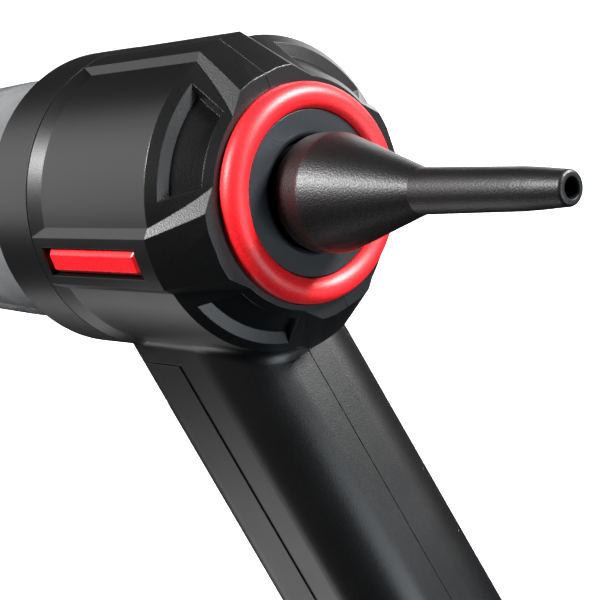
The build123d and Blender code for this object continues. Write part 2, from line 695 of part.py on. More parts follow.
def thumb_button(w, radius):
    """Round button with a retaining flange and a stem over its switch."""
    proud = PAD_RISE + 0.4
    cap = Pos(0, 0, (WALL - proud) / 2) * Cylinder(radius, WALL + proud)
    cap = fillet(cap.faces().sort_by(Axis.Z)[0].edges(), 0.6)
    dish = Pos(0, 0, -proud - 20 + 0.35) * Sphere(20)
    flange = Pos(0, 0, WALL + 0.1 + 0.5) * Cylinder(radius + 1.2, 1.0)
    neck = Pos(0, 0, WALL) * Cylinder(radius - 0.8, 0.6)
    stem = Pos(0, 0, WALL + 1.6) * Cylinder(1.6, 1.2)
    return button_axis(cap + neck + flange + stem - dish, w)


def status_lens():
    """Clear bar over the battery lights."""
    bar = Box(LENS_LENGTH - 2 * FIT, LENS_WIDTH - 2 * FIT, WALL + PAD_RISE)
    return button_axis(Pos(0, 0, (WALL - PAD_RISE) / 2) * bar, LENS_AT)


def button_board():
    """Small board behind the thumb buttons, with two switches and three lights."""
    front = SWITCH_SPACE - BUTTON_BOARD_THICKNESS
    middle = (POWER_AT + LENS_AT) / 2
    board = Pos(-middle, 0, SWITCH_SPACE - BUTTON_BOARD_THICKNESS / 2) * Box(34, 16, BUTTON_BOARD_THICKNESS)
    switch_height = front - (WALL + 2.2 + BUTTON_TRAVEL + 0.1)
    for w, _ in button_places():
        board = board + Pos(-w, 0, front - switch_height / 2) * Box(6, 6, switch_height)
    for step in (-1, 0, 1):
        board = board + Pos(-LENS_AT, 2.6 * step, front - 0.4) * Box(1.2, 1.6, 0.8)
    return button_axis(board, 0)


def foot_outline(inset=0.0):
    """Rounded rectangle of the foot, in the barrel's frame."""
    corner = FOOT_CORNER - inset
    outline = RectangleRounded(FOOT_LENGTH - 2 * inset, FOOT_WIDTH - 2 * inset, corner)
    return Pos(FOOT_MIDDLE_X, 0) * outline


def handle_slice(inset, z):
    """Level slice of the handle, whose slant stretches it front to back."""
    piece = handle_prism(inset)
    return piece.intersect(Plane(origin=(0, 0, z)).location * Rectangle(BIG, BIG))


def base_cap():
    """Flared foot that closes the handle, hollow for the charging board."""
    top = Face(handle_slice(0, HANDLE_END_Z - SEAM).face().outer_wire())
    shoulder = Pos(0, 0, FOOT_SHOULDER_Z) * foot_outline()
    flare = loft([top, shoulder.face()], ruled=True)
    band = extrude(Pos(0, 0, -AXIS_HEIGHT + 0.4) * foot_outline(), FOOT_BAND - 0.4)
    inner_top = Face(handle_slice(HANDLE_WALL + 1.8, HANDLE_END_Z - 0.2).face().outer_wire())
    inner_shoulder = Pos(0, 0, FOOT_SHOULDER_Z) * foot_outline(FOOT_WALL + 2)
    hollow = loft([inner_top, inner_shoulder.face()], ruled=True)
    well = Pos(0, 0, FOOT_FLOOR_Z) * foot_outline(FOOT_WALL + 2)
    hollow = hollow + extrude(well, FOOT_SHOULDER_Z - FOOT_FLOOR_Z)
    rim = handle_prism(HANDLE_WALL + FIT) - handle_prism(HANDLE_WALL + 1.8)
    rim = rim & above(HANDLE_END_Z - 4) & below(HANDLE_END_Z + 5)
    cap = flare + band - hollow + rim
    pad_recess = Pos(0, 0, -AXIS_HEIGHT - 1) * foot_outline(FOOT_PAD_MARGIN - FIT)
    cap = cap - extrude(pad_recess, 1 + FOOT_PAD_RECESS)
    return cap - port_recess()


def port_recess():
    """Slot for the charging plug and the shallow seat of its flap."""
    slot = block(
        (FOOT_REAR_X - 1, FOOT_REAR_X + FOOT_WALL + 3),
        (-USB_WIDTH / 2 - 0.8, USB_WIDTH / 2 + 0.8),
        (PORT_Z - USB_HEIGHT / 2 - 0.85, PORT_Z + USB_HEIGHT / 2 + 0.85),
    )
    half_width = PORT_FLAP_WIDTH / 2 + SEAM
    seat = block(
        (FOOT_REAR_X - 1, FOOT_REAR_X + PORT_FLAP_THICKNESS + SEAM),
        (-half_width, half_width),
        (PORT_Z - PORT_FLAP_HEIGHT / 2 - SEAM, PORT_Z + PORT_FLAP_HEIGHT / 2 + 1.2),
    )
    return slot + seat


def port_cover():
    """Rubber flap over the charging socket, hinged along its upper edge."""
    plate = block(
        (FOOT_REAR_X, FOOT_REAR_X + PORT_FLAP_THICKNESS),
        (-PORT_FLAP_WIDTH / 2, PORT_FLAP_WIDTH / 2),
        (PORT_Z - PORT_FLAP_HEIGHT / 2, PORT_Z + PORT_FLAP_HEIGHT / 2),
    )
    knuckle = across(
        FOOT_REAR_X, PORT_Z + PORT_FLAP_HEIGHT / 2, 0.7, -PORT_FLAP_WIDTH / 2, PORT_FLAP_WIDTH / 2
    )
    tab = block(
        (FOOT_REAR_X - 0.6, FOOT_REAR_X + 0.2),
        (-2.0, 2.0),
        (PORT_Z - PORT_FLAP_HEIGHT / 2, PORT_Z - PORT_FLAP_HEIGHT / 2 + 1.2),
    )
    return plate + knuckle + tab


def foot_pad():
    """Rubber plate under the foot."""
    plate = extrude(Pos(0, 0, -AXIS_HEIGHT) * foot_outline(FOOT_PAD_MARGIN), FOOT_PAD_RECESS - 0.02)
    lower = plate.faces().sort_by(Axis.Z)[0].edges()
    return chamfer(lower, 0.4)


# ---- Battery and electronics -------------------------------------------------------------------
def cell_places():
    """Middles of the four cells across the handle."""
    half = CELL_PITCH / 2
    return [(u, v) for u in (-half, half) for v in (-half, half)]


def battery_cells():
    """Four round cells with a raised positive end."""
    cells = []
    for index, (u, v) in enumerate(cell_places()):
        body = Cylinder(CELL_RADIUS, CELL_LENGTH - 1.0)
        end = -1 if index % 2 else 1
        button = Pos(0, 0, end * (CELL_LENGTH / 2 - 0.5)) * Cylinder(3.0, 1.0)
        cells.append(in_handle(body + button, u, v, CELL_TOP + CELL_LENGTH / 2))
    return cells


def cell_holder():
    """Plastic frames that hold the cells at both ends."""
    frames = []
    for w in (CELL_TOP + CELL_FRAME_SET_IN, CELL_END - CELL_FRAME_SET_IN):
        frame = RectangleRounded(CELL_FRAME_SIZE, CELL_FRAME_SIZE, CELL_RADIUS)
        frame = extrude(frame, CELL_FRAME_THICKNESS / 2, both=True)
        for u, v in cell_places():
            frame = frame - Pos(u, v) * Cylinder(CELL_RADIUS + FIT, 2 * CELL_FRAME_THICKNESS)
        frame = frame - Box(6, 6, 2 * CELL_FRAME_THICKNESS)
        frames.append(in_handle(frame, 0, 0, w))
    return frames


def cell_strips():
    """Nickel strips across the cell ends."""
    strips = []
    for w, swap in ((CELL_TOP - 0.25, False), (CELL_END + 0.05, True)):
        for side in (-1, 1):
            strip = Box(CELL_PITCH + 7, 7, 0.2) if swap else Box(7, CELL_PITCH + 7, 0.2)
            u = 0 if swap else side * CELL_PITCH / 2
            v = side * CELL_PITCH / 2 if swap else 0
            strips.append(in_handle(strip, u, v, w + 0.1))
    return strips


def driver_board():
    """Motor driver board across the top of the handle, with its power transistors."""
    board = Box(CELL_FRAME_SIZE - 8.4, CELL_FRAME_SIZE - 4.4, BOARD_THICKNESS)
    parts = board
    for column in (-1, 0, 1):
        for row in (-1, 1):
            chip = Pos(-5 + 7 * row, 9 * column, BOARD_THICKNESS / 2 + 0.6) * Box(5, 6, 1.2)
            parts = parts + chip
    for place in (-8, 8):
        parts = parts + Pos(11, place, BOARD_THICKNESS / 2 + 3.5) * Cylinder(2.5, 7)
    return in_handle(parts, -1.0, 0, BOARD_PLACE)


def heat_sink():
    """Finned aluminium plate on the upper side of the driver board."""
    plate = Box(18, 28, 1.5)
    for step in range(7):
        plate = plate + Pos(0, -12 + 4 * step, -2.2) * Box(18, 1.0, 3.2)
    return in_handle(plate, -5.0, 0, BOARD_PLACE - BOARD_THICKNESS / 2 - 0.75)


def charge_board():
    """Charging board on the foot's floor."""
    board = block(
        (FOOT_REAR_X + FOOT_WALL + 3.2, FOOT_REAR_X + 34.0),
        (-11.0, 11.0),
        (FOOT_FLOOR_Z + 0.1, CHARGE_BOARD_TOP),
    )
    chip = block(
        (FOOT_REAR_X + 20.0, FOOT_REAR_X + 25.0),
        (-2.5, 2.5),
        (CHARGE_BOARD_TOP, CHARGE_BOARD_TOP + 1.0),
    )
    coil = Pos(FOOT_REAR_X + 29.5, 5.5, CHARGE_BOARD_TOP + 1.5) * Box(6, 6, 3.0)
    return board + chip + coil


def usb_socket():
    """Metal charging socket with its tongue."""
    start = FOOT_REAR_X + FOOT_WALL + 1.0
    shell = Plane.YZ * RectangleRounded(USB_WIDTH, USB_HEIGHT, 1.25)
    hollow = Plane.YZ * RectangleRounded(USB_WIDTH - 0.6, USB_HEIGHT - 0.6, 1.0)
    body = extrude(shell, USB_DEPTH) - Pos(-0.1, 0, 0) * extrude(hollow, USB_DEPTH - 0.7)
    tongue = Pos(USB_DEPTH / 2 + 0.4, 0, 0) * Box(USB_DEPTH - 1.6, 6.2, 0.7)
    return Pos(start, 0, PORT_Z) * (body + tongue)


# ---- Fan module --------------------------------------------------------------------------------
def bulkhead():
    """Wall behind the dust cup: fan inlet, filter spigot and slots for the latch arms."""
    wall_x = BULKHEAD_X
    plate = turned([
        (wall_x - 1.5, FILTER_SPIGOT),
        (wall_x - 8.5, FILTER_SPIGOT),
        (wall_x - 8.5, FILTER_SPIGOT - 2.0),
        (FAN_INLET_X, FAN_INLET_RADIUS - 2.0),
        (FAN_INLET_X, FAN_INLET_RADIUS),
        (FAN_X - 3.4, FAN_INLET_RADIUS),
        (wall_x + 1.5, FAN_INLET_RADIUS + 1.6),
        (wall_x + 1.5, SPIGOT_BORE - FIT),
        (wall_x - 1.5, SPIGOT_BORE - FIT),
    ])
    slot = block((wall_x - 3, wall_x + 3), (-BIG, -LATCH_ARM_OUTER + 4.0), (-5.0, 5.0))
    return plate - slot - mirrored(slot)


def fan_shroud():
    """Round casing of the fan with ears for the latch springs."""
    shroud = turned([
        (FAN_X - 3.0, FAN_INLET_RADIUS + FIT),
        (FAN_X - 3.0, SHROUD_OUTER),
        (SHROUD_END, SHROUD_OUTER),
        (SHROUD_END, SHROUD_BORE),
        (FAN_X - 1.2, SHROUD_BORE),
        (FAN_X - 1.2, FAN_INLET_RADIUS + FIT),
    ])
    ear = block(SPRING_EAR_X, (-SPRING_SEAT, -SHROUD_OUTER + 1.5), (-5.0, 5.0))
    return shroud + ear + mirrored(ear)


def damper_rings():
    """Rubber rings that hold the fan module in the housing."""
    half = DAMPER_WIDTH / 2
    front = tube(MODULE_RIB_X - half, MODULE_RIB_X + half, DAMPER_OUTER, SHROUD_OUTER + 0.05)
    inner = FAN_INLET_RADIUS + 3.0
    rear = tube(BULKHEAD_X + 1.5, FAN_X - 3.0, SHROUD_OUTER - 1.0, inner)
    return [front, rear]


def impeller():
    """Mixed-flow impeller: a conical hub with swept blades."""
    hub = turned([
        (FAN_X, SHAFT_RADIUS),
        (FAN_X, 5.5),
        (FAN_X + 3.0, 6.4),
        (FAN_X + FAN_DEPTH, 14.0),
        (FAN_X + FAN_DEPTH, SHAFT_RADIUS),
    ])
    envelope = turned([
        (FAN_X + 0.3, 4.0),
        (FAN_X + 0.3, min(FAN_INLET_RADIUS, FAN_RADIUS) - 1.5),
        (FAN_X + 3.5, FAN_RADIUS - 1.5),
        (FAN_X + 6.0, FAN_RADIUS),
        (FAN_X + FAN_DEPTH - 0.3, FAN_RADIUS),
        (FAN_X + FAN_DEPTH - 0.3, 4.0),
    ])
    wheel = hub
    across_blade = Pos(FAN_RADIUS / 2 + 2, 0) * Rectangle(FAN_RADIUS, BLADE_THICKNESS)
    for index in range(FAN_BLADES):
        turn = 360 / FAN_BLADES * index
        foot = Plane(origin=(FAN_X, 0, 0), x_dir=(0, 1, 0), z_dir=(1, 0, 0))
        top = Plane(origin=(FAN_X + FAN_DEPTH, 0, 0), x_dir=(0, 1, 0), z_dir=(1, 0, 0))
        lower = foot * Rot(0, 0, turn) * across_blade
        upper = top * Rot(0, 0, turn + BLADE_SWEEP) * across_blade
        wheel = wheel + (loft([lower.face(), upper.face()], ruled=True) & envelope)
    return wheel


def diffuser():
    """Ring of straightening vanes between the motor and the shroud."""
    end = MOTOR_X + VANE_LENGTH
    hub = tube(MOTOR_X, end, MOTOR_RADIUS + 1.4, MOTOR_RADIUS + FIT)
    rim = tube(MOTOR_X, end, SHROUD_BORE - 0.1, SHROUD_BORE - 1.4)
    ring = hub + rim
    reach = SHROUD_BORE - MOTOR_RADIUS - 1.4
    middle = (MOTOR_RADIUS + SHROUD_BORE) / 2 + 0.3
    room = tube(MOTOR_X, end, SHROUD_BORE - 0.6, MOTOR_RADIUS + 1)
    vane = Pos(MOTOR_X + VANE_LENGTH / 2, middle, 0) * Rot(0, 18, 0) * Box(VANE_LENGTH - 1, reach, 1.0)
    for index in range(VANES):
        ring = ring + Rot(360 / VANES * index, 0, 0) * (vane & room)
    return ring


def motor_can():
    """Motor casing with a closed front end that carries the front bearing."""
    bore = MOTOR_RADIUS - MOTOR_WALL
    front_seat = MOTOR_END - MOTOR_WALL
    rear_seat = MOTOR_X + MOTOR_WALL + BEARING_WIDTH
    return turned([
        (MOTOR_X, BEARING_RADIUS),
        (MOTOR_X, MOTOR_RADIUS),
        (MOTOR_END - 2.5, MOTOR_RADIUS),
        (MOTOR_END, MOTOR_RADIUS - 4.5),
        (MOTOR_END, 0),
        (front_seat, 0),
        (front_seat, BEARING_RADIUS),
        (front_seat - BEARING_WIDTH, BEARING_RADIUS),
        (front_seat - BEARING_WIDTH, bore),
        (rear_seat, bore),
        (rear_seat, BEARING_RADIUS),
    ])


def stator():
    """Laminated ring with six wound poles."""
    bore = MOTOR_RADIUS - MOTOR_WALL
    middle = STATOR_X + STATOR_LENGTH / 2
    pole_radius = (MAGNET_RADIUS + bore) / 2
    ring = tube(STATOR_X, STATOR_X + STATOR_LENGTH, bore, bore - 2.0)
    for index in range(6):
        pole = Pos(middle, pole_radius - 0.2, 0) * Box(STATOR_LENGTH, 3.6, 2.4)
        winding = Pos(middle, pole_radius + 0.1, 0) * Box(STATOR_LENGTH + 3, 2.2, 5.0)
        ring = ring + Rot(60 * index, 0, 0) * (pole + winding)
    return ring


def motor_bearings():
    """Ball bearings at both ends of the shaft."""
    bearings = []
    for start in (MOTOR_X + 1.0, MOTOR_END - MOTOR_WALL - BEARING_WIDTH):
        bearings.append(tube(start, start + BEARING_WIDTH, BEARING_RADIUS, SHAFT_RADIUS + RUNNING))
    return bearings


def motor_shaft():
    """Steel shaft from the impeller's nose to the front bearing."""
    return rod(FAN_X - 0.4, MOTOR_END - 2.0, SHAFT_RADIUS)


def rotor_magnet():
    """Ring magnet on the shaft, inside the stator."""
    return tube(STATOR_X, STATOR_X + STATOR_LENGTH, MAGNET_RADIUS, SHAFT_RADIUS)


def outlet_duct():
    """Funnel from the fan module to the nozzle's socket."""
    wall = 1.5
    front = SOCKET_OUTER + FIT
    rear = SHROUD_OUTER + FIT
    overlap_x = -SOCKET_DEPTH + 2.0
    return turned([
        (SHROUD_END - 5.0, rear),
        (SHROUD_END + 0.5, rear),
        (overlap_x - 6.0, front),
        (overlap_x, front),
        (overlap_x, front + wall),
        (overlap_x - 6.5, front + wall),
        (SHROUD_END + 0.5, rear + wall),
        (SHROUD_END - 5.0, rear + wall),
    ])


# ---- Release buttons ---------------------------------------------------------------------------
def release_button():
    """Red bar in the -Y rib, bevelled all round, that sits on its latch."""
    half = RELEASE_WIDTH / 2
    y_span = (-BARREL_RADIUS + 0.1, -LATCH_OUTER - 0.02)
    bar = block((RELEASE_REAR_X, RELEASE_FRONT_X), y_span, (-half, half))
    bar = fillet(bar.edges().filter_by(Axis.Y), RELEASE_CHAMFER + 0.2)
    return chamfer(bar.faces().sort_by(Axis.Y)[0].edges(), RELEASE_CHAMFER)


def latch():
    """Latch bar under the release button, with an arm and hook that reach into the cup's mouth."""
    rear = RELEASE_REAR_X - 0.4
    hook_x = CUP_MOUTH_X - LATCH_HOOK
    arm_inner = -LATCH_ARM_OUTER + LATCH_THICKNESS
    bar_span = (-LATCH_OUTER, -LATCH_OUTER + LATCH_THICKNESS)
    bar = block((rear - 2.0, RELEASE_FRONT_X + 2.0), bar_span, (-5.6, 5.6))
    step = block((rear - 2.0, rear), (-LATCH_OUTER, arm_inner), (-4.0, 4.0))
    arm = block((hook_x, rear), (-LATCH_ARM_OUTER, arm_inner), (-4.0, 4.0))
    nose = block((hook_x, hook_x + 2.5), (-LATCH_ARM_OUTER - 0.4, arm_inner - 1.3), (-3.4, 3.4))
    peg_place = Pos(sum(SPRING_EAR_X) / 2, -LATCH_OUTER + LATCH_THICKNESS + 0.8, 0)
    return bar + step + arm + nose + peg_place * Rot(90, 0, 0) * Cylinder(1.4, 1.8)


def latch_spring():
    """Coil spring between the shroud's ear and the latch bar."""
    path = Helix(pitch=SPRING_PITCH, height=SPRING_LENGTH - SPRING_WIRE, radius=SPRING_RADIUS)
    section = Plane(origin=path @ 0, z_dir=path % 0) * Circle(SPRING_WIRE / 2)
    coil = sweep(section, path=path)
    middle = sum(SPRING_EAR_X) / 2
    return Pos(middle, -SPRING_SEAT - SPRING_WIRE / 2, 0) * Rot(90, 0, 0) * coil


# ---- Dust side ---------------------------------------------------------------------------------
def dust_cup():
    """Clear cup, slightly tapered, with a soft rear corner and catches for the latches."""
    bend = CUP_END_X + 0.4 * CUP_LENGTH
    cup = turned([
        (CUP_MOUTH_X, CUP_RADIUS),
        (bend, CUP_RADIUS),
        (CUP_END_X, CUP_END_RADIUS),
        (CUP_END_X, NOSE_OUTER + FIT),
        (CUP_END_X + CUP_WALL, NOSE_OUTER + FIT),
        (CUP_END_X + CUP_WALL, CUP_END_RADIUS - CUP_WALL),
        (bend, CUP_RADIUS - CUP_WALL),
        (CUP_MOUTH_X, CUP_RADIUS - CUP_WALL),
    ])
    rim = cup.edges().filter_by(GeomType.CIRCLE).group_by(Axis.X)[0].sort_by(SortBy.RADIUS)[-1]
    cup = fillet(rim, CUP_REAR_CORNER)
    inner = cup.edges().filter_by(GeomType.CIRCLE).filter_by(
        lambda e: abs(e.center().X - CUP_END_X - CUP_WALL) < 0.1
    ).sort_by(SortBy.RADIUS)[-1]
    cup = fillet(inner, CUP_REAR_CORNER - 1.5)
    hook_x = CUP_MOUTH_X - LATCH_HOOK
    catch = block((hook_x - 0.4, hook_x + 2.9), (-BIG, -20), (-4.2, 4.2))
    return cup - catch - mirrored(catch)


def cup_seal():
    """Rubber ring on the spigot's end that the cup's mouth closes on."""
    return tube(CUP_MOUTH_X + 0.3, SPIGOT_END, CUP_RADIUS + 0.2, CUP_RADIUS - CUP_WALL - 0.2)


def intake_nose():
    """Intake socket on the cup's end, with a duct inside that the flap closes."""
    bore_end = NOSE_MOUTH_X + INTAKE_LENGTH
    flange = NOSE_OUTER + 7.0
    nose = turned([
        (NOSE_MOUTH_X, INTAKE_RADIUS + 0.6),
        (NOSE_MOUTH_X, NOSE_OUTER - 0.6),
        (NOSE_MOUTH_X + 0.6, NOSE_OUTER),
        (CUP_END_X - 3.0, NOSE_OUTER),
        (CUP_END_X - 3.0, flange),
        (CUP_END_X - 0.05, flange),
        (CUP_END_X - 0.05, NOSE_OUTER),
        (DUCT_END_X, NOSE_OUTER - 0.4),
        (DUCT_END_X, INTAKE_RADIUS - DUCT_LIP),
        (bore_end, INTAKE_RADIUS - DUCT_LIP),
        (bore_end, INTAKE_RADIUS),
        (NOSE_MOUTH_X + 0.6, INTAKE_RADIUS),
    ])
    for side in (-FLAP_EAR_SPACING, FLAP_EAR_SPACING):
        ear = block(
            (DUCT_END_X - 3.0, FLAP_AXIS_X + 2.2),
            (side - 1.2, side + 1.2),
            (INTAKE_RADIUS - 0.6, FLAP_AXIS_Z + 2.4),
        )
        nose = nose + ear
    pin_hole = across(FLAP_AXIS_X, FLAP_AXIS_Z, FLAP_PIN_RADIUS + RUNNING, -12, 12)
    return nose - pin_hole


def inlet_flap():
    """Round flap that hangs over the duct's inner end and swings into the cup."""
    face_x = DUCT_END_X + SEAM
    radius = INTAKE_RADIUS - DUCT_LIP + FLAP_OVERLAP
    disc = rod(face_x, face_x + FLAP_THICKNESS, radius)
    strap = block((face_x, face_x + FLAP_THICKNESS), (-4.6, 4.6), (radius - 3, FLAP_AXIS_Z))
    knuckle = across(FLAP_AXIS_X, FLAP_AXIS_Z, FLAP_PIN_RADIUS + 1.1, -4.6, 4.6)
    flap = disc + strap + knuckle
    return flap - across(FLAP_AXIS_X, FLAP_AXIS_Z, FLAP_PIN_RADIUS + RUNNING, -6, 6)


def flap_pin():
    """Steel pin through the ears and the flap's knuckle."""
    return across(FLAP_AXIS_X, FLAP_AXIS_Z, FLAP_PIN_RADIUS, -9.2, 9.2)


def filter_frame():
    """Filter body: a socket for the spigot, a pull ring and a closed far end with four bars."""
    start = FILTER_MOUTH_X
    end = start - FILTER_LENGTH
    base = turned([
        (start, FILTER_SPIGOT + SLIDING),
        (start, FILTER_RADIUS + 2.0),
        (start - 2.5, FILTER_RADIUS + 2.0),
        (start - 2.5, FILTER_RADIUS),
        (start - 5.0, FILTER_RADIUS),
        (start - 5.0, FILTER_SPIGOT + SLIDING),
    ])
    tail = turned([
        (end, 0),
        (end, FILTER_RADIUS - 6.0),
        (end + 3.0, FILTER_RADIUS - 4.0),
        (end + 3.0, 0),
    ])
    frame = base + tail
    inner = FILTER_SPIGOT - 2.2
    outer = FILTER_SPIGOT + 1.6
    bar = block((end + 1.5, start - 8.5), (-1.5, 1.5), (inner, FILTER_SPIGOT - 0.2))
    riser = block((start - 9.5, start - 4.0), (-1.5, 1.5), (FILTER_SPIGOT + SLIDING, outer))
    foot = block((start - 9.5, start - 8.5), (-1.5, 1.5), (inner, outer))
    for turn in range(4):
        frame = frame + Rot(45 + 90 * turn, 0, 0) * (bar + riser + foot)
    return frame


def filter_pleats():
    """Folded filter paper between the frame's ends."""
    start = FILTER_MOUTH_X - 5.2
    end = FILTER_MOUTH_X - FILTER_LENGTH + 3.2
    rings = []
    for set_in in (0, PAPER):
        points = []
        for index in range(2 * PLEATS):
            radius = FILTER_RADIUS - 1.5 if index % 2 else FILTER_SPIGOT + 2.2
            angle = radians(180 / PLEATS * index)
            points.append(((radius - set_in) * cos(angle), (radius - set_in) * sin(angle)))
        rings.append(make_face(Polyline(*points, close=True)))
    star = rings[0] - rings[1]
    plane = Plane(origin=(end, 0, 0), x_dir=(0, 1, 0), z_dir=(1, 0, 0))
    return extrude(plane * star, start - end)


def filter_seal():
    """Soft ring between the filter's socket and the bulkhead."""
    return tube(FILTER_MOUTH_X + 0.05, FILTER_MOUTH_X + 1.0, FILTER_RADIUS + 1.5, FILTER_SPIGOT + SLIDING)


# ---- Output -------------------------------------------------------------------------------------
def write(node, shape):
    """Write one named piece in the row's frame."""
    solids = shape if isinstance(shape, list) else [shape]
    solids = [Pos(*ROW_ORIGIN) * solid for one in solids for solid in one.solids()]
    piece = solids[0] if len(solids) == 1 else Compound(solids)
    export_step(piece, f"parts/{node}.step")


def main():
    os.makedirs("parts", exist_ok=True)
    shell = housing()
    write("right_housing", housing_half(shell, -1))
    write("left_housing", housing_half(shell, 1))
    write("housing_screws", housing_screws())
    write("screw_plugs", screw_plugs())
    write("rear_collar", rear_collar())
    write("outlet_ring", outlet_ring())
    write("outlet_plate", outlet_plate())
    write("outlet_seal", outlet_seal())
    write("nozzle", nozzle())
    write("grip_cover", grip_cover())
    write("grip_pad", grip_pad())
    write("power_button", thumb_button(POWER_AT, POWER_BUTTON_RADIUS))
    write("speed_button", thumb_button(SPEED_AT, SPEED_BUTTON_RADIUS))
    write("status_lens", status_lens())
    write("button_board", button_board())
    write("base_cap", base_cap())
    write("foot_pad", foot_pad())
    write("port_cover", port_cover())
    write("battery_cells", battery_cells())
    write("cell_holder", cell_holder())
    write("cell_strips", cell_strips())
    write("driver_board", driver_board())
    write("heat_sink", heat_sink())
    write("charge_board", charge_board())
    write("usb_socket", usb_socket())
    write("bulkhead", bulkhead())
    write("fan_shroud", fan_shroud())
    write("damper_rings", damper_rings())
    write("impeller", impeller())
    write("diffuser", diffuser())
    write("motor_can", motor_can())
    write("stator", stator())
    write("motor_bearings", motor_bearings())
    write("motor_shaft", motor_shaft())
    write("rotor_magnet", rotor_magnet())
    write("outlet_duct", outlet_duct())
    write("right_release_button", release_button())
    write("left_release_button", mirrored(release_button()))
    write("right_latch", latch())
    write("left_latch", mirrored(latch()))
    write("right_latch_spring", latch_spring())
    write("left_latch_spring", mirrored(latch_spring()))
    write("dust_cup", dust_cup())
    write("cup_seal", cup_seal())
    write("intake_nose", intake_nose())
    write("inlet_flap", inlet_flap())
    write("flap_pin", flap_pin())
    write("filter_frame", filter_frame())
    write("filter_pleats", filter_pleats())
    write("filter_seal", filter_seal())


main()
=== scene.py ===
"""Looks of a handheld blower vacuum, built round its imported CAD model.

Metres, +Z up, +X towards the nozzle. The tool stands on its foot at the origin.
"""
from math import cos, radians, sin

import bmesh
import bpy
from mathutils import Matrix, Vector


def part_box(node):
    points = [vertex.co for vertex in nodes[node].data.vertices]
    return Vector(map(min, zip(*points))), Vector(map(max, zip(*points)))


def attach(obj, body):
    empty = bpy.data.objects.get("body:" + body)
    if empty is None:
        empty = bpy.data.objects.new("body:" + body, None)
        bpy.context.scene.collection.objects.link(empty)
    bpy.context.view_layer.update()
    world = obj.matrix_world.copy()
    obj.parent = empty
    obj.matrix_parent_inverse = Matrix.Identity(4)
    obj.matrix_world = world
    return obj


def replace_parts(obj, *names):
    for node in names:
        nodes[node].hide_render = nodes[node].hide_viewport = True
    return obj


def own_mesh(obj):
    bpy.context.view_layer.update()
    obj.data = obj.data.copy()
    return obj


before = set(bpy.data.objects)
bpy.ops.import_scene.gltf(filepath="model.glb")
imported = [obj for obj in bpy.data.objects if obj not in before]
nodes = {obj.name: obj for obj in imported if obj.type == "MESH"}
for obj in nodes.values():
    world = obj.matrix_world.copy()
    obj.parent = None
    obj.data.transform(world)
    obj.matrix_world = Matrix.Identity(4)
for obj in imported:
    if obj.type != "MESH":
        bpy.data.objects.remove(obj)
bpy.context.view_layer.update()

# ---- Camera ------------------------------------------------------------------------------------
# Stands ahead of the tool, on its right and a little above the barrel, so close that the foot and
# the cup's far end are out of the picture.
AXIS_HEIGHT = 0.168
FACE_X = 0.02898
CAMERA_OFFSET = (0.3173, -0.2460, 0.1070)
CAMERA_DEGREES = (70.32, 18.96, 47.27)
face_centre = Vector((FACE_X, 0, AXIS_HEIGHT))
lens = bpy.data.cameras.new("camera")
lens.sensor_width = 36
lens.lens = 92.03
lens.clip_end = 50
camera = bpy.data.objects.new("camera", lens)
camera.location = face_centre + Vector(CAMERA_OFFSET)
camera.rotation_euler = [radians(angle) for angle in CAMERA_DEGREES]
bpy.context.scene.collection.objects.link(camera)
bpy.context.scene.camera = camera

# ---- Studio ------------------------------------------------------------------------------------
# Six rectangular lights in a room that is white to the lens and nearly black to every other ray.
# A small hard one stands above the near side, two soft ones on the far side, and a wide one
# beside the cup. A cool one in front and a weak one behind are below the floor.
bpy.context.scene.view_settings.view_transform = "Standard"


def softbox(name, towards, distance, width, height, watts, colour=(1, 1, 1)):
    """A rectangular light that stands off from the barrel's front face and looks at it."""
    lamp = bpy.data.lights.new(name, "AREA")
    lamp.shape = "RECTANGLE"
    lamp.size = width
    lamp.size_y = height
    lamp.energy = watts
    lamp.color = colour
    stand = bpy.data.objects.new(name, lamp)
    direction = Vector(towards).normalized()
    stand.location = face_centre + direction * distance
    stand.rotation_euler = direction.to_track_quat("Z", "Y").to_euler()
    stand.visible_camera = False
    bpy.context.scene.collection.objects.link(stand)


softbox("key_box", (-0.26, -0.68, 0.69), 1.5, 0.28, 0.18, 42)
softbox("brow_box", (0.62, 0.66, 0.42), 1.4, 0.4, 0.4, 66)
softbox("side_wall", (-0.77, -0.46, 0.42), 1.7, 1.5, 1.5, 9)
softbox("front_box", (0.93, 0.06, -0.36), 1.0, 0.62, 0.66, 6.5, (0.86, 0.94, 1))
softbox("low_box", (-0.66, -0.38, -0.64), 1.2, 0.6, 0.6, 2)
softbox("back_box", (-0.5, 0.85, 0.10), 1.9, 1.0, 1.0, 8)


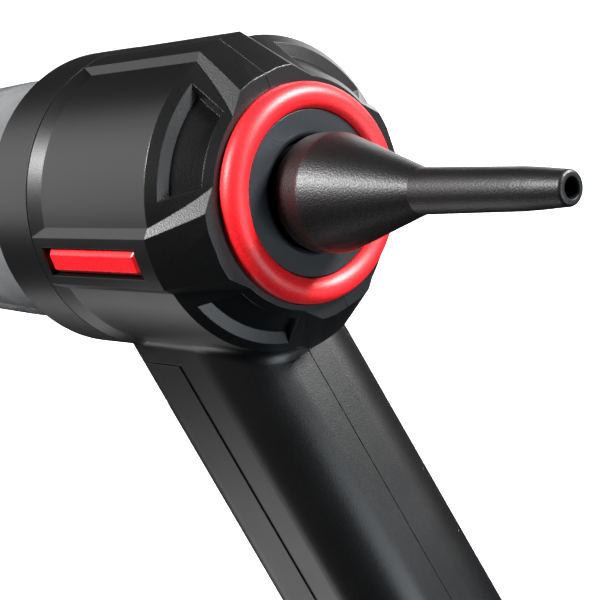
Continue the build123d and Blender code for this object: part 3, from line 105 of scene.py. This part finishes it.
class Socket:
    """One output of a shader node. Arithmetic on it adds nodes, and new() adds any other node."""

    def __init__(self, node, output=0):
        self.node = node
        self.out = node.outputs[output]

    def new(self, kind, settings, values, output=0):
        """A node in the same tree: its settings first, then the values or links of its sockets."""
        tree = self.node.id_data
        node = tree.nodes.new("ShaderNode" + kind)
        for name, value in settings.items():
            setattr(node, name, value)
        for name, value in values.items():
            if isinstance(value, Socket):
                tree.links.new(value.out, node.inputs[name])
            else:
                node.inputs[name].default_value = value
        return Socket(node, output)

    def maths(self, operation, first, second):
        settings = {"operation": operation}
        return self.new("Math", settings, {0: first, 1: second})

    def __add__(self, other):
        return self.maths("ADD", self, other)

    def __sub__(self, other):
        if isinstance(other, tuple):
            return self.new("VectorMath", {"operation": "SUBTRACT"}, {0: self, 1: other})
        return self.maths("SUBTRACT", self, other)

    def __rsub__(self, other):
        return self.maths("SUBTRACT", other, self)

    def __mul__(self, other):
        return self.maths("MULTIPLY", self, other)

    def noise(self, scale, detail):
        """Noise in the place that this gives, with so many lumps to the metre."""
        return self.new("TexNoise", {}, {"Vector": self, "Scale": scale, "Detail": detail}, "Fac")

    def between(self, low, high):
        """0 below low, 1 above high and even in between."""
        limits = {"Value": self, "From Min": low, "From Max": high}
        return self.new("MapRange", {"clamp": True}, limits)

    def mix(self, first, second):
        """Colour that goes from first to second as this goes from 0 to 1."""
        return self.new("Mix", {"data_type": "RGBA"}, {0: self, 6: first, 7: second}, 2)

    __radd__ = __add__
    __rmul__ = __mul__


def blank(name):
    """An empty material and the Object coordinates that its pattern reads."""
    material = bpy.data.materials.new(name)
    material.use_nodes = True
    place = material.node_tree.nodes.new("ShaderNodeTexCoord")
    return material, Socket(place, "Object")


def shade(material, values):
    """Set or link the sockets of the material's shader."""
    tree = material.node_tree
    shader = tree.nodes["Principled BSDF"]
    for name, value in values.items():
        if isinstance(value, Socket):
            tree.links.new(value.out, shader.inputs[name])
        else:
            shader.inputs[name].default_value = value


def seen_by_lens(first, second, place):
    """The first shader for rays from the lens, and the second for all other rays."""
    ray = place.new("LightPath", {}, {}, "Is Camera Ray")
    return ray.new("MixShader", {}, {0: ray, 1: second, 2: first})


floor_paint, floor_place = blank("floor_paint")
paper = floor_place.noise(6, 2)
pale = paper.mix((0.86, 0.86, 0.86, 1), (0.90, 0.90, 0.90, 1))
lit = floor_place.new("BsdfDiffuse", {}, {"Color": pale})
away = floor_place.new("VectorMath", {"operation": "LENGTH"}, {0: floor_place}, "Value")
# To the lens the floor glows: a painted glow, weaker near the tool so that its shadow shows, and
# full white from 0.6 m out.
backing = away.between(0.10, 0.6).mix((0.40, 0.40, 0.40, 1), (1, 1, 1, 1))
glow = floor_place.new("Emission", {}, {"Color": backing})
bright = lit.new("AddShader", {}, {0: lit, 1: glow})
dull = floor_place.new("BsdfDiffuse", {}, {"Color": (0.20, 0.20, 0.20, 1)})
floor_look = seen_by_lens(bright, dull, floor_place)
floor_tree = floor_paint.node_tree
floor_tree.links.new(floor_look.out, floor_tree.nodes["Material Output"].inputs["Surface"])

floor_mesh = bmesh.new()
bmesh.ops.create_grid(floor_mesh, x_segments=4, y_segments=4, size=12)
floor_data = bpy.data.meshes.new("floor")
floor_mesh.to_mesh(floor_data)
floor_mesh.free()
floor_data.materials.append(floor_paint)
floor = bpy.data.objects.new("floor", floor_data)
bpy.context.scene.collection.objects.link(floor)
# Two lights stand below the floor, so nothing but the lens sees it.
floor.visible_glossy = False
floor.visible_diffuse = False
floor.visible_shadow = False

room = bpy.data.worlds.new("room")
bpy.context.scene.world = room
room.use_nodes = True
wall = Socket(room.node_tree.nodes.new("ShaderNodeBackground"))
wall.node.inputs["Color"].default_value = (0.022, 0.023, 0.024, 1)
white = wall.new("Background", {}, {"Color": (1, 1, 1, 1)})
room_look = seen_by_lens(white, wall, wall)
room.node_tree.links.new(room_look.out, room.node_tree.nodes["World Output"].inputs["Surface"])


# ---- Housing halves, screw plugs, collar and foot ----------------------------------------------
# Glass-filled nylon in charcoal, from a spark-eroded mould: a fine even grain, a satin sheen, and
# edges painted a little paler, partly as worn plastic and partly as a painted highlight. The
# halves meet on the middle plane, where screws hold them.
def dress(material, *names):
    """Give CAD nodes a material."""
    for name in names:
        nodes[name].data.materials.clear()
        nodes[name].data.materials.append(material)


def moulded(name, colour, roughness, grain=0.16, pore=0.00042, edge=0.00035, edge_wear_and_highlight=0.5):
    """Moulded plastic: grained and rounded, with handling marks, its edges worn and given a
    painted highlight.
    """
    material, place = blank(name)
    pores = place.noise(1 / pore, 2)
    smears = place.noise(42, 3)
    rounded = place.new("Bevel", {"samples": 4}, {"Radius": edge})
    true = place.new("NewGeometry", {}, {}, "Normal")
    meet = true.new("VectorMath", {"operation": "DOT_PRODUCT"}, {0: rounded, 1: true}, "Value")
    # Edges painted paler: partly worn plastic, partly a painted highlight that the edges catch.
    worn_and_highlit_edges = (1 - meet).between(0.01, 0.22)
    relief = {"Strength": grain, "Distance": pore / 2, "Height": pores, "Normal": rounded}
    worn_and_highlight_colour = tuple(min(1, channel * 1.5 + 0.006) for channel in colour)
    speckled = pores.between(0.35, 0.65).mix(
        (*[channel * 0.86 for channel in colour], 1),
        (*[channel * 1.14 for channel in colour], 1),
    )
    values = {
        "Base Color": (worn_and_highlit_edges * edge_wear_and_highlight).mix(speckled, (*worn_and_highlight_colour, 1)),
        "Roughness": roughness + (smears - 0.5) * 0.10 + (pores - 0.5) * 0.12 - worn_and_highlit_edges * 0.06,
        "Normal": pores.new("Bump", {}, relief),
        "IOR": 1.50,
    }
    shade(material, values)
    return material


casing = moulded("grained_casing", (0.0036, 0.0036, 0.0039), 0.34)
dress(casing, "right_housing", "left_housing", "screw_plugs", "rear_collar", "base_cap")

# ---- Grip cover and its pad --------------------------------------------------------------------
# The cover is the same nylon as the housing. The pad on its back is thermoplastic rubber, moulded
# over it in a second shot, duller and with a coarser grain.
cover = moulded("cover_plastic", (0.0038, 0.0038, 0.0041), 0.36)
dress(cover, "grip_cover")
pad_rubber = moulded("pad_rubber", (0.011, 0.011, 0.012), 0.62, 0.45, 0.0006, 0.0004, 0.2)
dress(pad_rubber, "grip_pad")

# ---- Outlet ring -------------------------------------------------------------------------------
# Red ABS with a soft crest, coloured through and satin from its mould. Its sleeve is clipped
# behind a shoulder inside the housing's front.
red = moulded("red_plastic", (0.90, 0.012, 0.018), 0.44, 0.20, 0.0005, 0.0003, 0.15)
dress(red, "outlet_ring")

# ---- Outlet plate and seal ---------------------------------------------------------------------
# Slate-coloured moulded disc inside the ring, with the nozzle's socket behind it and a black
# rubber ring in the socket's groove. The seals, damper rings and flap inside are the same rubber.
slate = moulded("slate_plastic", (0.008, 0.011, 0.014), 0.40, 0.20)
dress(slate, "outlet_plate")
seal_rubber = moulded("seal_rubber", (0.010, 0.010, 0.010), 0.55, 0.1, 0.0008, 0.0001, 0.0)
dress(seal_rubber, "outlet_seal", "cup_seal", "filter_seal", "damper_rings", "inlet_flap")

# ---- Nozzle ------------------------------------------------------------------------------------
# Black polypropylene in one moulding, from a blasted mould whose grain catches the light in
# specks. Its spigot is pushed into the plate's socket.
nozzle_black = moulded("nozzle_plastic", (0.0032, 0.0032, 0.0034), 0.43, 0.34, 0.0005, 0.0003, 0.3)
dress(nozzle_black, "nozzle")

# ---- Release buttons ---------------------------------------------------------------------------
# Red bars in the side ribs, in the ring's plastic but polished. Each sits on a black latch that
# holds the dust cup, with a steel spring behind it.
bar_red = moulded("bar_red", (0.88, 0.012, 0.018), 0.28, 0.08, 0.0005, 0.0003, 0.15)
dress(bar_red, "right_release_button", "left_release_button")
latch_plastic = moulded("latch_plastic", (0.02, 0.02, 0.021), 0.4, 0.1)
dress(latch_plastic, "right_latch", "left_latch")


# ---- Dust cup ----------------------------------------------------------------------------------
# Clear polycarbonate in one moulding, faintly smoky and scuffed by the dust that whirls inside.
# The lens over the battery lights is a paler clear moulding.
def clear_plastic(name, tint, thin, thick):
    """Clear moulding that looks denser where the wall is seen edge on."""
    material, place = blank(name)
    scuffs = place.noise(60, 5)
    dusty = scuffs.between(0.42, 0.90)
    edge_on = place.new("LayerWeight", {}, {"Blend": 0.42}, "Facing")
    relief = {"Strength": 0.04, "Distance": 0.0001, "Height": scuffs}
    values = {
        "Base Color": dusty.mix((*tint, 1), (*[channel * 1.5 for channel in tint], 1)),
        "Roughness": 0.10 + dusty * 0.22,
        "Alpha": thin + edge_on * (thick - thin) + dusty * 0.05,
        "Normal": scuffs.new("Bump", {}, relief),
        "IOR": 1.58,
    }
    shade(material, values)
    return material


dress(clear_plastic("clear_cup", (0.20, 0.205, 0.21), 0.58, 0.94), "dust_cup")
dress(clear_plastic("frosted_lens", (0.72, 0.75, 0.78), 0.60, 0.95), "status_lens")

# ---- Intake nose, flap pin and other small steel pieces ----------------------------------------
# Black moulded socket for suction accessories, welded into the cup's end. Its flap turns on a
# steel pin. The bearings, charging socket, motor shaft and housing screws are steel too.
nose_black = moulded("nose_plastic", (0.012, 0.012, 0.013), 0.40)
dress(nose_black, "intake_nose")


def metal(name, colour, roughness, brush=(1, 1, 1)):
    """Bare metal with fine marks, drawn out along an axis where the brush is below 1."""
    material, place = blank(name)
    along = place.new("Mapping", {}, {"Vector": place, "Scale": brush})
    marks = along.noise(900, 3)
    rounded = place.new("Bevel", {"samples": 4}, {"Radius": 0.0002})
    relief = {"Strength": 0.12, "Distance": 0.00003, "Height": marks, "Normal": rounded}
    dark = (*[channel * 0.82 for channel in colour], 1)
    values = {
        "Base Color": marks.mix(dark, (*colour, 1)),
        "Metallic": 1.0,
        "Roughness": roughness + (marks - 0.5) * 0.2,
        "Normal": marks.new("Bump", {}, relief),
    }
    shade(material, values)
    return material


steel = metal("plain_steel", (0.62, 0.62, 0.63), 0.28)
dress(steel, "flap_pin", "motor_bearings", "usb_socket")
dress(metal("ground_steel", (0.66, 0.66, 0.67), 0.16), "motor_shaft")
dress(metal("black_screw_steel", (0.06, 0.06, 0.065), 0.35), "housing_screws")

# ---- Filter ------------------------------------------------------------------------------------
# Dark moulded frame with a closed end and four bars, and filter paper between its ends. The paper
# is folded into 28 pleats with round folds, glued at both ends and marked with patches of dust.
dress(moulded("filter_plastic", (0.035, 0.035, 0.038), 0.45, 0.2), "filter_frame")


def piece(name, shape, material, body):
    """An object from a bmesh that rides on a body. Its normals point outward."""
    bmesh.ops.recalc_face_normals(shape, faces=shape.faces)
    for face in shape.faces:
        face.smooth = True
    mesh = bpy.data.meshes.new(name)
    shape.to_mesh(mesh)
    shape.free()
    mesh.materials.append(material)
    thing = bpy.data.objects.new(name, mesh)
    bpy.context.scene.collection.objects.link(thing)
    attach(thing, body)
    return thing


paper_low, paper_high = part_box("filter_pleats")
paper_axis = (paper_low + paper_high) / 2
PLEATS = 28
PLEAT_STEPS = 12
FOLD_MIDDLE = 0.0245
FOLD_DEPTH = 0.0022
PAPER_THICKNESS = 0.0004
pleated = bmesh.new()
rim = bmesh.ops.create_circle(pleated, segments=PLEATS * PLEAT_STEPS, radius=FOLD_MIDDLE)["verts"]
for vert in rim:
    angle = Vector((vert.co.x, vert.co.y)).angle_signed(Vector((1, 0)))
    wave = cos(PLEATS * angle)
    reach = FOLD_MIDDLE + FOLD_DEPTH * (1.35 * wave - 0.35 * wave ** 3)
    vert.co = Vector((paper_low.x, reach * cos(angle), paper_axis.z + reach * sin(angle)))
folded = bmesh.ops.extrude_edge_only(pleated, edges=pleated.edges[:])
far_rim = [part for part in folded["geom"] if isinstance(part, bmesh.types.BMVert)]
bmesh.ops.translate(pleated, verts=far_rim, vec=(paper_high.x - paper_low.x, 0, 0))
bmesh.ops.recalc_face_normals(pleated, faces=pleated.faces)
bmesh.ops.solidify(pleated, geom=pleated.faces[:], thickness=PAPER_THICKNESS)

paper_look, place = blank("filter_paper")
fibres = place.noise(1500, 4)
dust = place.noise(60, 4)
clean = fibres.mix((0.66, 0.64, 0.57, 1), (0.80, 0.78, 0.71, 1))
values = {
    "Base Color": dust.between(0.45, 0.75).mix(clean, (0.50, 0.46, 0.38, 1)),
    "Roughness": 0.92,
    "Normal": fibres.new("Bump", {}, {"Strength": 0.5, "Distance": 0.0002, "Height": fibres}),
}
shade(paper_look, values)
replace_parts(piece("pleated_paper", pleated, paper_look, "filter"), "filter_pleats")

# ---- Thumb buttons -----------------------------------------------------------------------------
# Two satin mouldings on the back of the grip, held in by flanges, each with a raised grey mark: a
# broken ring and a bar for power, three growing dots for speed.
button_plastic = moulded("button_plastic", (0.030, 0.031, 0.033), 0.34, 0.12, 0.0005, 0.0004)
dress(button_plastic, "power_button", "speed_button")
mark_grey = moulded("mark_grey", (0.46, 0.46, 0.47), 0.40, 0.05, 0.0005, 0.0001, 0.1)

SLANT = radians(16.6)
HANDLE_TOP = Vector((-0.04122, 0, AXIS_HEIGHT))
down_handle = Vector((sin(SLANT), 0, -cos(SLANT)))
out_of_back = Vector((-cos(SLANT), 0, -sin(SLANT)))
back_turn = Matrix((Vector((0, -1, 0)), -down_handle, out_of_back)).transposed().to_4x4()


def on_back(along, depth):
    """Frame at the back of the grip, so far down it: x across, y up the handle, z outward."""
    return Matrix.Translation(HANDLE_TOP + down_handle * along + out_of_back * depth) @ back_turn


MARK_WIRE = 0.00024
RING_RADIUS = 0.0023
HALF_BREAK = 35
BAR_LENGTH = 0.0022
BAR_MIDDLE = 0.0018
power_mark = bmesh.new()
break_angle = radians(HALF_BREAK)
start = Vector((RING_RADIUS * sin(break_angle), RING_RADIUS * cos(break_angle), 0))
arc = bmesh.ops.create_circle(power_mark, cap_ends=True, segments=8, radius=MARK_WIRE)["verts"]
turn = Matrix.Rotation(radians(90), 4, "Y")
stand_up = Matrix.Translation(start) @ Matrix.Rotation(-break_angle, 4, "Z") @ turn
bmesh.ops.transform(power_mark, matrix=stand_up, verts=arc)
bmesh.ops.spin(
    power_mark,
    geom=power_mark.faces[:],
    axis=(0, 0, 1),
    cent=(0, 0, 0),
    steps=30,
    angle=radians(2 * HALF_BREAK - 360),
)
bmesh.ops.create_cone(
    power_mark,
    cap_ends=True,
    segments=8,
    radius1=MARK_WIRE,
    radius2=MARK_WIRE,
    depth=BAR_LENGTH,
    matrix=Matrix.Translation((0, BAR_MIDDLE, 0)) @ Matrix.Rotation(radians(90), 4, "X"),
)
power_place = on_back(along=0.0665, depth=0.03036)
bmesh.ops.transform(power_mark, matrix=power_place, verts=power_mark.verts)
piece("power_mark", power_mark, mark_grey, "power_button")

speed_mark = bmesh.new()
for across, radius in ((-0.0019, 0.00030), (-0.0003, 0.00042), (0.0016, 0.00056)):
    bmesh.ops.create_uvsphere(
        speed_mark,
        u_segments=12,
        v_segments=8,
        radius=radius,
        matrix=Matrix.Translation((across, 0, 0)) @ Matrix.Diagonal((1, 1, 0.5, 1)),
    )
speed_place = on_back(along=0.080, depth=0.03025)
bmesh.ops.transform(speed_mark, matrix=speed_place, verts=speed_mark.verts)
piece("speed_mark", speed_mark, mark_grey, "speed_button")

# ---- Foot pad and socket flap ------------------------------------------------------------------
# Soft black moulded rubber: a pad glued under the foot, and a flap that is hinged along its upper
# edge and keeps dust out of the charging socket.
dress(moulded("soft_rubber", (0.013, 0.013, 0.014), 0.68, 0.2, 0.0007), "foot_pad", "port_cover")

# ---- Fan module --------------------------------------------------------------------------------
# Unpainted grey nylon mouldings between the housing halves: bulkhead, shroud, diffuser and duct,
# and the battery's holder in the same plastic. The impeller on the motor's shaft is black.
inner_plastic = moulded("inner_plastic", (0.16, 0.165, 0.17), 0.45, 0.15)
dress(inner_plastic, "bulkhead", "fan_shroud", "diffuser", "outlet_duct", "cell_holder")
dress(moulded("impeller_plastic", (0.014, 0.014, 0.015), 0.38, 0.1), "impeller")

# ---- Motor -------------------------------------------------------------------------------------
# Zinc-plated can drawn from sheet. The stator is a stack of sheet-steel laminations with enamelled
# copper wound through it, and the rotor is one plated magnet.
dress(metal("can_steel", (0.60, 0.61, 0.63), 0.30, (0.05, 1, 1)), "motor_can")
dress(metal("magnet_plating", (0.35, 0.35, 0.37), 0.35), "rotor_magnet")

stator_look, place = blank("stator_windings")
COIL_REACH = 0.0100
IRON_REACH = 0.0102
from_axis = place - (0, 0, AXIS_HEIGHT)
spread = from_axis.new("VectorMath", {"operation": "MULTIPLY"}, {0: from_axis, 1: (0, 1, 1)})
reach = spread.new("VectorMath", {"operation": "LENGTH"}, {0: spread}, "Value")
iron = reach.between(COIL_REACH, IRON_REACH)
sheets = place.new("TexWave", {"bands_direction": "X"}, {"Vector": place, "Scale": 320}, "Fac")
strands = place.noise(1800, 2)
enamel = strands.mix((0.42, 0.13, 0.035, 1), (0.74, 0.30, 0.10, 1))
stack = sheets.mix((0.16, 0.16, 0.17, 1), (0.40, 0.40, 0.41, 1))
values = {
    "Base Color": iron.mix(enamel, stack),
    "Metallic": 0.9,
    "Roughness": 0.34 + (strands - 0.5) * 0.2,
    "Normal": strands.new("Bump", {}, {"Strength": 0.4, "Distance": 0.0001, "Height": strands}),
}
shade(stator_look, values)
dress(stator_look, "stator")

# ---- Battery -----------------------------------------------------------------------------------
# Four lithium cells in blue shrink sleeves that stop short of their steel ends, spot-welded to
# nickel strips.
SLEEVE_LIMITS = ((0.0812, 0.0813), (0.1436, 0.1437))
cell_look, place = blank("sleeved_cells")
axis = tuple(down_handle)
from_top = place - tuple(HANDLE_TOP)
along = from_top.new("VectorMath", {"operation": "DOT_PRODUCT"}, {0: from_top, 1: axis}, "Value")
sleeved = along.between(*SLEEVE_LIMITS[0]) * (1 - along.between(*SLEEVE_LIMITS[1]))
creases = place.noise(240, 2)
sleeve = creases.mix((0.015, 0.085, 0.30, 1), (0.025, 0.12, 0.38, 1))
values = {
    "Base Color": sleeved.mix((0.62, 0.62, 0.62, 1), sleeve),
    "Metallic": 1 - sleeved,
    "Roughness": 0.26 + creases * 0.12,
    "Normal": creases.new("Bump", {}, {"Strength": 0.2, "Distance": 0.0001, "Height": creases}),
}
shade(cell_look, values)
dress(cell_look, "battery_cells")
dress(metal("nickel", (0.66, 0.63, 0.57), 0.30), "cell_strips")

# ---- Boards and heat sink ----------------------------------------------------------------------
# Glass-epoxy boards under green solder mask, with the copper tracks showing as a paler relief, and
# a heat sink of extruded aluminium on the upper side of the driver board.
board_look, place = blank("board_green")
grid = {"Vector": place, "Scale": 190, "Mortar Size": 0.06, "Mortar Smooth": 0.2}
tracks = place.new("TexBrick", {}, grid, "Fac")
weave = place.noise(900, 2)
mask = weave.mix((0.008, 0.070, 0.026, 1), (0.012, 0.092, 0.036, 1))
values = {
    "Base Color": tracks.mix(mask, (0.035, 0.17, 0.070, 1)),
    "Roughness": 0.30 + weave * 0.08,
    "Normal": tracks.new("Bump", {}, {"Strength": 0.3, "Distance": 0.0001, "Height": tracks}),
}
shade(board_look, values)
dress(board_look, "driver_board", "charge_board", "button_board")
dress(metal("sink_aluminium", (0.72, 0.73, 0.75), 0.30, (0.05, 1, 1)), "heat_sink")

# ---- Latch springs -----------------------------------------------------------------------------
# Coils of music wire between the fan shroud's ears and the latches, held by their own push. In the
# tool each shortens by the button's stroke as its release is pressed; here each coil keeps one
# length.
COIL_RADIUS = 0.0022
WIRE_RADIUS = 0.0003
TURNS = 5
TURN_STEPS = 20
for side, way in (("right", -1), ("left", 1)):
    coil_low, coil_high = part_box(side + "_latch_spring")
    seat = coil_high.y if way < 0 else coil_low.y
    length = coil_high.y - coil_low.y - 2 * WIRE_RADIUS
    middle = (coil_low + coil_high) / 2
    coil = bmesh.new()
    first_end = Matrix.Translation((middle.x + COIL_RADIUS, seat + way * WIRE_RADIUS, middle.z))
    bmesh.ops.create_circle(coil, cap_ends=True, segments=8, radius=WIRE_RADIUS, matrix=first_end)
    bmesh.ops.spin(
        coil,
        geom=coil.faces[:],
        axis=(0, 1, 0),
        cent=(middle.x, 0, middle.z),
        dvec=(0, way * length / (TURNS * TURN_STEPS), 0),
        steps=TURNS * TURN_STEPS,
        angle=radians(360 * TURNS),
    )
    spring = piece(side + "_coil_spring", coil, steel, "root")
    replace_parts(spring, side + "_latch_spring")
    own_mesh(spring)
